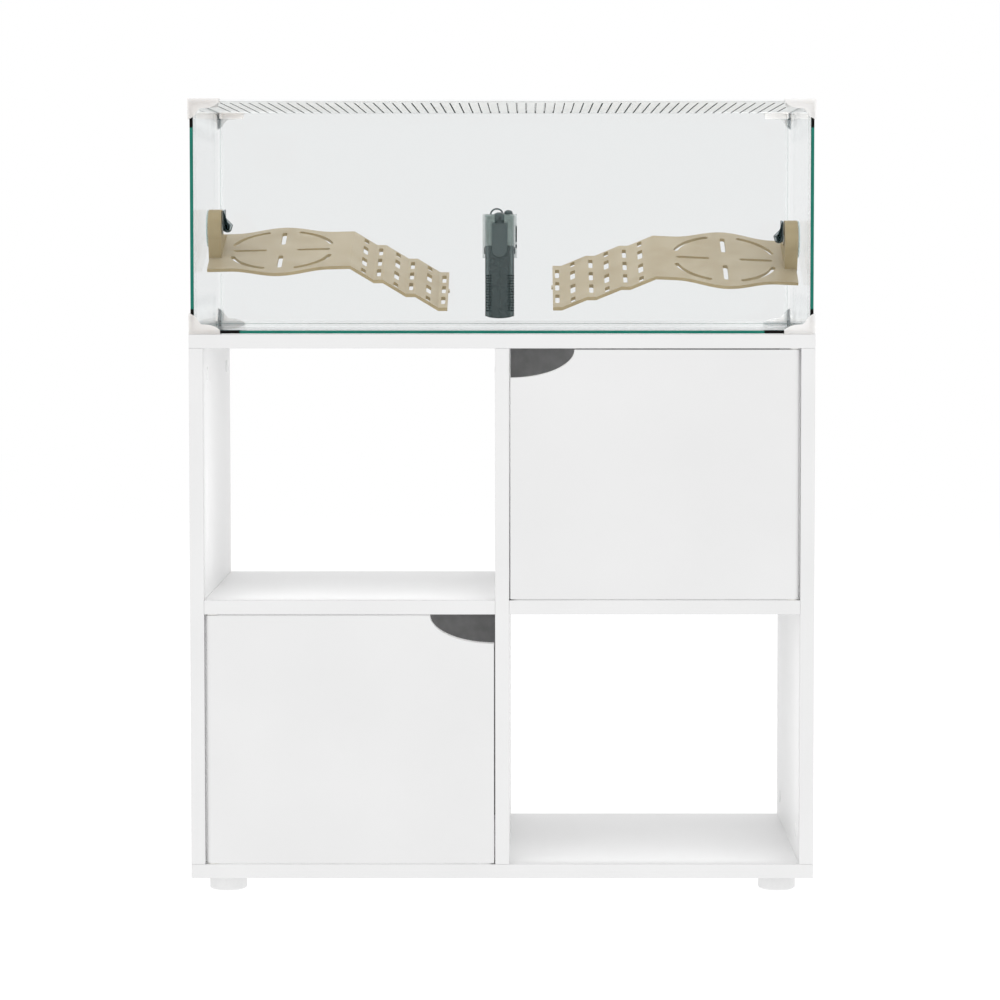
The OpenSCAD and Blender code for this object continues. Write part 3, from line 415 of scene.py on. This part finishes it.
def float_glass(name, mirror, shade):
    """Face glass: nearly clear straight on and a mirror at a glancing angle. At the middle
    height the mirror has the given weight and shade, and near the lid and the floor RIM_MIRROR
    and SILVER."""
    material = finish(name, (88, 116, 118), (92, 120, 122), 4, (0.01, 0.03), Metallic=1.0)
    tree = material.node_tree
    shader = tree.nodes["Principled BSDF"]
    facing = tree.nodes.new("ShaderNodeLayerWeight")
    facing.inputs["Blend"].default_value = 0.5
    glance = worked(tree, "POWER", facing.outputs["Facing"], GLANCE_POWER)
    point = tree.nodes.new("ShaderNodeTexCoord")
    split = tree.nodes.new("ShaderNodeSeparateXYZ")
    wire(tree, split.inputs["Vector"], point.outputs["Object"])
    off_middle = worked(tree, "ABSOLUTE", worked(tree, "SUBTRACT", split.outputs["Z"], MIDDLE_Z))
    before_rear = mapped(tree, split.outputs["Y"], REAR_START, REAR_FULL)
    rim = mapped(tree, off_middle, RIM_START, RIM_FULL, 0, before_rear)
    weight = mapped(tree, rim, 0, 1, mirror, RIM_MIRROR)
    wire(tree, shader.inputs["Alpha"], mapped(tree, glance, 0, 1, GLASS_COVER, weight))
    wire(tree, shader.inputs["Base Color"],
         mixed(tree, mapped(tree, glance, 0, SILVER_GLANCE), tree.nodes["tone"].outputs["Color"],
               mixed(tree, rim, shade, SILVER)))
    return material


# The side walls mirror only dimly, through a dark tint: painted shade, darker on the left wall than
# on the right.
wide_glass = float_glass("wide_glass", 0.92, SILVER)
side_glass = {"left_glass": float_glass("left_wall_glass", 0.22, (0.22, 0.26, 0.28, 1)),
              "right_glass": float_glass("right_wall_glass", 0.2, (0.48, 0.52, 0.54, 1))}
glass_edge = finish("glass_edge", (26, 108, 94), (34, 120, 104), 30, (0.25, 0.4),
                    Specular_IOR_Level=0.1)
# From within the glass an edge is as clear as the face.
edge_tree = glass_edge.node_tree
from_inside = edge_tree.nodes.new("ShaderNodeNewGeometry").outputs["Backfacing"]
wire(edge_tree, edge_tree.nodes["Principled BSDF"].inputs["Alpha"],
     worked(edge_tree, "SUBTRACT", 1, from_inside))
for node, across in (("bottom_glass", 2), ("front_glass", 1), ("back_glass", 1),
                     ("left_glass", 0), ("right_glass", 0)):
    pane = round_edges(cuboid(*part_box(node)), GLASS_ARRIS, segments=1)
    for face in pane.faces:
        broad = abs(face.normal[across]) > BROAD_LOOK
        top_arris = ARRIS_RISE < face.normal.z < BROAD_LOOK
        face.material_index = 0 if broad or top_arris else 1
    place(node + "_pane", pane, [side_glass.get(node, wide_glass), glass_edge],
          "cabinet_and_tank", "clear_glass", node)

# ---------------------------------------------------------------------------------------------
# Seams. Clear silicone fills the inner corners, and black rubber strips pad the ends of the
# panes where the corner caps grip them.
silicone = finish("silicone", (205, 212, 212), (214, 220, 220), 60, (0.2, 0.35), 0.0001, 90,
                  Alpha=0.12)
rubber = finish("rubber", (8, 8, 8), (16, 16, 16), 200, (0.6, 0.8), 0.00005, 1800,
                Specular_IOR_Level=0.1)
dress(silicone, "silicone_beads")
dress(rubber, "edge_gaskets")

# ---------------------------------------------------------------------------------------------
# Corner caps. Eight moulded caps clip over the corners of the glass: a plate above or below
# and two faces with an ogee edge.
CAP_EDGE = 0.0006
# The left caps are painted darker than the right ones: one plastic in painted shade on the left and
# painted light on the right.
CAP_TONES = {"left": ((220, 216, 213), (226, 223, 220)),
             "right": ((240, 239, 237), (243, 242, 241))}

cap_plastics = {
    side: finish("cap_painted_light_" + side, dark, light, 50, (0.35, 0.5), 0.00003, 1500,
                 Subsurface_Weight=0.6, Subsurface_Scale=0.012,
                 Subsurface_Radius=(0.9, 0.95, 1.0))
    for side, (dark, light) in CAP_TONES.items()}
for level in ("lower", "upper"):
    for row in ("front", "back"):
        for side in ("left", "right"):
            node = f"cap_{level}_{row}_{side}"
            softened(node + "_moulded", node, CAP_EDGE, cap_plastics[side], "cabinet_and_tank",
                     "cap_plastic")

# ---------------------------------------------------------------------------------------------
# Vent lid. One white moulded sheet that drops between the caps onto the walls. Its air slots
# run from front to back, and narrow upwards so that the sheet leaves its mould.
SLOT_PITCH = 0.0123
SLOT_WIDTH = 0.002
SLOT_FRONT = 0.052
SLOT_REAR = 0.010
CAP_NOTCH = 0.038
SLOT_TOP_SHARE = 0.3
CAP_MARGIN = 0.005
LID_EDGE = 0.0002
TOUCH = 0.0001
WALL_RISE = 0.7

lid_white = finish("lid_white", (240, 241, 241), (244, 245, 245), 20, (0.4, 0.5), 0.00003, 1200)
# The slots' walls are painted dark: painted shade inside the slots.
slot_painted_shade = finish("slot_painted_shade", (84, 86, 86), (96, 98, 98), 200, (0.6, 0.8),
                   Specular_IOR_Level=0.1)


def in_slot(point, low, high):
    """The X of the middle of the slot that a point of the lid belongs to, or None. Slots that
    run beside a notch for a rear cap are shorter."""
    middle = (round(point.x / SLOT_PITCH - 0.5) + 0.5) * SLOT_PITCH
    beside_cap = abs(middle) + CAP_MARGIN > high.x - CAP_NOTCH
    rear = high.y - SLOT_REAR - (CAP_NOTCH if beside_cap else 0)
    if not low.y + SLOT_FRONT - TOUCH < point.y < rear + TOUCH:
        return None
    return middle if abs(point.x - middle) < SLOT_WIDTH / 2 + TOUCH else None


def vent_lid():
    """The lid with its slots drawn in at the top, and their walls painted dark as painted shade."""
    low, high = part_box("vent_lid")
    solid = copy_of("vent_lid")
    for vertex in solid.verts:
        middle = in_slot(vertex.co, low, high)
        if middle is not None and vertex.co.z > (low.z + high.z) / 2:
            vertex.co.x = middle + (vertex.co.x - middle) * SLOT_TOP_SHARE
    solid.normal_update()
    for face in solid.faces:
        inside = in_slot(face.calc_center_median(), low, high) is not None
        face.material_index = 1 if inside and abs(face.normal.z) < WALL_RISE else 0
    place("vent_lid_moulded", round_edges(solid, LID_EDGE, sharp=40, segments=1),
          [lid_white, slot_painted_shade], "lid", "lid_plastic", "vent_lid")


vent_lid()

# ---------------------------------------------------------------------------------------------
# Islands. Each is one sand-coloured moulding: a bracket, a level platform with drain slots and
# a ramp of three bent treads with grip holes. They hang on the side walls, tipped forward.
ISLAND_EDGE = 0.0007
# Faces that look up at least this much are painted lighter, as far out as the face of the bracket,
# and the others darker: painted light from above and painted shade on one sand moulding.
TREAD_RISE = 0.55
BRACKET_X = 0.374

# Lit and shaded copies of the one sand colour: painted light and painted shade.
sand = finish("sand_painted_light", (169, 154, 126), (183, 171, 147), 26, (0.34, 0.5), 0.00004, 900,
              Specular_IOR_Level=0.6)
sand_painted_shade = finish("sand_painted_shade", (158, 141, 105), (170, 153, 117), 60, (0.45, 0.6), 0.00004, 900)
for side in ("left", "right"):
    node = side + "_island"
    solid = copy_of(node)
    solid.normal_update()
    for face in solid.faces:
        inside = abs(face.calc_center_median().x) < BRACKET_X
        on_tread = face.normal.z > TREAD_RISE and inside
        face.material_index = 0 if on_tread else 1
    place(node + "_moulded", round_edges(solid, ISLAND_EDGE), [sand, sand_painted_shade], node,
          "sand_plastic", node)

# ---------------------------------------------------------------------------------------------
# Cup clamps. A clear cup behind each bracket is drawn flat on the glass by a steel stud, when
# the cam lever on the stud's pin is thrown up against the bracket.
CUP_EDGE = 0.0002
LEVER_EDGE = 0.0003
LEVER_RIM = 0.0014
# How much the lever's flat front looks forwards, and at most the rounded edge beside it. The rim is
# painted bright where that edge looks up and inwards by at least RIM_TURN: a painted highlight.
FRONT_LOOK = 0.99
EDGE_LOOK = 0.97
RIM_TURN = 0.2

cup_vinyl = finish("cup_vinyl", (150, 196, 186), (172, 212, 203), 80, (0.1, 0.2), Alpha=0.45)
lever_slate = finish("lever_slate", (40, 46, 46), (52, 59, 59), 120, (0.3, 0.42), 0.00003, 1500)
lever_painted_highlight = finish("lever_painted_highlight", (150, 160, 164), (176, 186, 190), 120, (0.12, 0.2))
blued_steel = finish("blued_steel", (52, 56, 58), (66, 70, 72), 300, (0.3, 0.4), Metallic=0.6)


def settle(elements, position):
    """Sorts the corners or the faces of a bmesh by where they lie."""
    rank = {element: number for number, element in enumerate(sorted(elements, key=position))}
    elements.sort(key=lambda element: rank[element])


def cam_lever(side):
    """One lever. The upper inner part of its front has a rim painted bright: a painted highlight.
    """
    solid = round_edges(copy_of(side + "_cam_lever"), LEVER_EDGE)
    solid.normal_update()
    flats = [face for face in solid.faces if face.normal.y < -FRONT_LOOK]
    bmesh.ops.inset_individual(solid, faces=flats, thickness=LEVER_RIM, use_even_offset=True)
    solid.normal_update()
    inwards = Vector((1 if side == "left" else -1, 0, 1))
    for face in solid.faces:
        if face.normal.y < -FRONT_LOOK and face not in flats:
            beyond = [near.normal for edge in face.edges for near in edge.link_faces
                      if near.normal.y > -EDGE_LOOK]
            if beyond and beyond[0].dot(inwards) > RIM_TURN:
                face.material_index = 1
    # The inset leaves corners and faces in no fixed order, and sorted they stay the same.
    settle(solid.verts, lambda vertex: tuple(vertex.co))
    settle(solid.faces, lambda face: tuple(face.calc_center_median()))
    place(side + "_lever_moulded", solid, [lever_slate, lever_painted_highlight], side + "_lever",
          "slate_plastic", side + "_cam_lever")


for side in ("left", "right"):
    softened(side + "_cup_pressed", side + "_suction_cup", CUP_EDGE, cup_vinyl,
             "cabinet_and_tank", "clear_cup")
    cam_lever(side)
dress(bright_steel, "cup_studs", "cam_washers")
dress(blued_steel, "lever_pins")

# ---------------------------------------------------------------------------------------------
# Filter basket. A smoked moulding with intake louvres up its front corners, which holds a block
# of open-cell foam. Its foot bows down, and a fine mould line runs up the middle of its front.
BASKET_EDGE = 0.0004
BOW_EDGE = 0.0005
# The painted highlight up a corner: how much its faces look aside, and how much forwards.
STRIP_ASIDE = (0.3, 0.68)
STRIP_FRONT = 0.7
# The bowed foot: half its width, how far it reaches above and below the basket's wall, and how
# far it ends inside the front and the rear.
FOOT_HALF = 0.018
FOOT_RISE = 0.0012
FOOT_BOW = 0.0026
FOOT_INSET = 0.0008
# The mould line: its half width, how flat it is, and its ends above the basket's foot.
MOULD_LINE_R = 0.0005
MOULD_LINE_PROUD = 0.6
MOULD_LINE_START = 0.002
MOULD_LINE_END = 0.080

smoked = finish("smoked_basket", (45, 53, 53), (49, 57, 57), 60, (0.22, 0.34))
# A paler copy of the smoked finish for the corners: a painted highlight.
smoked_painted_highlight = finish("smoked_painted_highlight", (84, 94, 94), (90, 100, 100), 60, (0.2, 0.3))
foam = finish("foam", (22, 24, 24), (44, 46, 46), 900, (0.9, 1.0), 0.0006, 700)


def with_painted_highlights(node, width, materials, body):
    """A moulded CAD solid whose upright front corners have a painted highlight on their turn."""
    solid = round_edges(copy_of(node), width, segments=3)
    solid.normal_update()
    for face in solid.faces:
        aside = STRIP_ASIDE[0] < abs(face.normal.x) < STRIP_ASIDE[1]
        face.material_index = 1 if aside and -face.normal.y > STRIP_FRONT else 0
    place(node + "_moulded", solid, materials, body, "slate_plastic", node)


def prism(outline, low, high, across):
    """A bmesh with an outline drawn in two axes and drawn out along the third, across."""
    solid = bmesh.new()
    ends = []
    for level in (low, high):
        corners = []
        for u, v in outline:
            point = [u, v]
            point.insert(across, level)
            corners.append(solid.verts.new(point))
        ends.append(corners)
    count = len(outline)
    solid.faces.new(ends[0])
    solid.faces.new(ends[1][::-1])
    for i in range(count):
        j = (i + 1) % count
        solid.faces.new((ends[0][i], ends[1][i], ends[1][j], ends[0][j]))
    bmesh.ops.recalc_face_normals(solid, faces=solid.faces)
    return solid


with_painted_highlights("filter_basket", BASKET_EDGE, [smoked, smoked_painted_highlight], "filter")
basket_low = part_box("filter_basket")[0]
head_low, head_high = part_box("filter_head")
filter_x = (head_low.x + head_high.x) / 2
filter_y = (head_low.y + head_high.y) / 2
bow = [(filter_x + FOOT_HALF * cos(radians(a)),
        basket_low.z + FOOT_RISE - (FOOT_BOW + FOOT_RISE) * sin(radians(a)))
       for a in range(0, 181, 12)]
foot = prism(bow, head_low.y + FOOT_INSET, head_high.y - FOOT_INSET, 1)
place("basket_foot", round_edges(foot, BOW_EDGE), smoked, "filter", "slate_plastic")
line = [(filter_x + MOULD_LINE_R * cos(radians(a)),
         head_low.y - MOULD_LINE_R * MOULD_LINE_PROUD * sin(radians(a)))
        for a in range(0, 181, 30)]
place("basket_mould_line",
      prism(line, basket_low.z + MOULD_LINE_START, basket_low.z + MOULD_LINE_END, 2), smoked,
      "filter", "slate_plastic")
dress(foam, "filter_sponge")

# ---------------------------------------------------------------------------------------------
# Pump head. A clear hood clips over the basket and holds the motor, whose flange shows dark
# through its top. The impeller runs on a ceramic shaft in a well of the motor's housing.
MOTOR_EDGE = 0.0012
HOOD_EDGE = 0.0005
FITTING_EDGE = 0.0003
GLAND_EDGE = 0.0004
# The flange, wide and deep, and how far its two faces lie under the top of the hood
FLANGE_WIDTH = 0.0354
FLANGE_DEPTH = 0.0374
FLANGE_CORNER = 0.006
FLANGE_TOP = 0.0026
FLANGE_FOOT = 0.0085

clear_head = finish("clear_head", (138, 152, 148), (150, 163, 160), 60, (0.05, 0.12), Alpha=0.5)
motor_black = finish("motor_moulding", (62, 70, 70), (68, 77, 77), 80, (0.2, 0.3))
# A paler copy of the motor's finish for its rounded corners: a painted highlight.
motor_painted_highlight = finish("motor_painted_highlight", (104, 114, 114), (112, 122, 122), 80, (0.16, 0.24))
porcelain = finish("porcelain", (225, 222, 214), (236, 234, 228), 200, (0.1, 0.2))
blade_plastic = finish("blade_plastic", (60, 62, 64), (76, 78, 80), 200, (0.35, 0.5), 0.00003)


def round_plan(middle, width, depth, radius, steps=6):
    """The corners of an upright block's plan with rounded corners."""
    return [(middle[0] + sx * (width / 2 - radius) + radius * cos(radians(a)),
             middle[1] + sy * (depth / 2 - radius) + radius * sin(radians(a)))
            for sx, sy, start in ((1, 1, 0), (-1, 1, 90), (-1, -1, 180), (1, -1, 270))
            for a in (start + 90 * k / steps for k in range(steps + 1))]


with_painted_highlights("motor_housing", MOTOR_EDGE, [motor_black, motor_painted_highlight], "pump_head")
softened("filter_head_moulded", "filter_head", HOOD_EDGE, clear_head, "pump_head",
         "smoked_plastic")
flange = prism(round_plan((filter_x, filter_y), FLANGE_WIDTH, FLANGE_DEPTH, FLANGE_CORNER),
               head_high.z - FLANGE_FOOT, head_high.z - FLANGE_TOP, 2)
place("motor_flange", round_edges(flange, HOOD_EDGE), motor_black, "pump_head", "slate_plastic")
softened("nozzle_moulded", "outlet_nozzle", FITTING_EDGE, motor_black, "nozzle", "slate_plastic")
softened("knob_moulded", "flow_knob", FITTING_EDGE, motor_black, "flow_knob", "slate_plastic")
softened("handle_moulded", "lift_handle", HOOD_EDGE, motor_black, "pump_head", "slate_plastic")
softened("gland_moulded", "cable_gland", GLAND_EDGE, rubber, "pump_head", "black_rubber")
dress(porcelain, "impeller_shaft")
dress(blade_plastic, "impeller")

# ---------------------------------------------------------------------------------------------
# Cradle. A clear moulded holder that the filter slides into from above. Two clear cups press it
# to the rear pane, and two rubber pads are let into the front edge of its right cheek.
CRADLE_EDGE = 0.0003
# The lower and the upper end of each pad above the cradle's foot, its sides in from the cheek's
# outer face, and how far it stands in front of the cheek and reaches into it
PAD_ENDS = {"long": (0.022, 0.044), "short": (0.014, 0.019)}
PAD_OUTER = 0.0001
PAD_INNER = 0.0019
PAD_PROUD = 0.0006
PAD_REACH = 0.002

clear_cradle = finish("clear_cradle", (196, 206, 204), (210, 218, 216), 60, (0.08, 0.16),
                      Alpha=0.35)
softened("cradle_moulded", "filter_holder", CRADLE_EDGE, clear_cradle, "cabinet_and_tank",
         "clear_plastic")
softened("filter_cups_pressed", "filter_cups", CUP_EDGE, cup_vinyl, "cabinet_and_tank",
         "clear_cup")
cradle_low, cradle_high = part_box("filter_holder")
for name, (pad_foot, pad_head) in PAD_ENDS.items():
    pad = cuboid((cradle_high.x - PAD_INNER, cradle_low.y - PAD_PROUD, cradle_low.z + pad_foot),
                 (cradle_high.x - PAD_OUTER, cradle_low.y + PAD_REACH, cradle_low.z + pad_head))
    place(f"cradle_pad_{name}", round_edges(pad, CRADLE_EDGE), rubber, "cabinet_and_tank",
          "black_rubber")
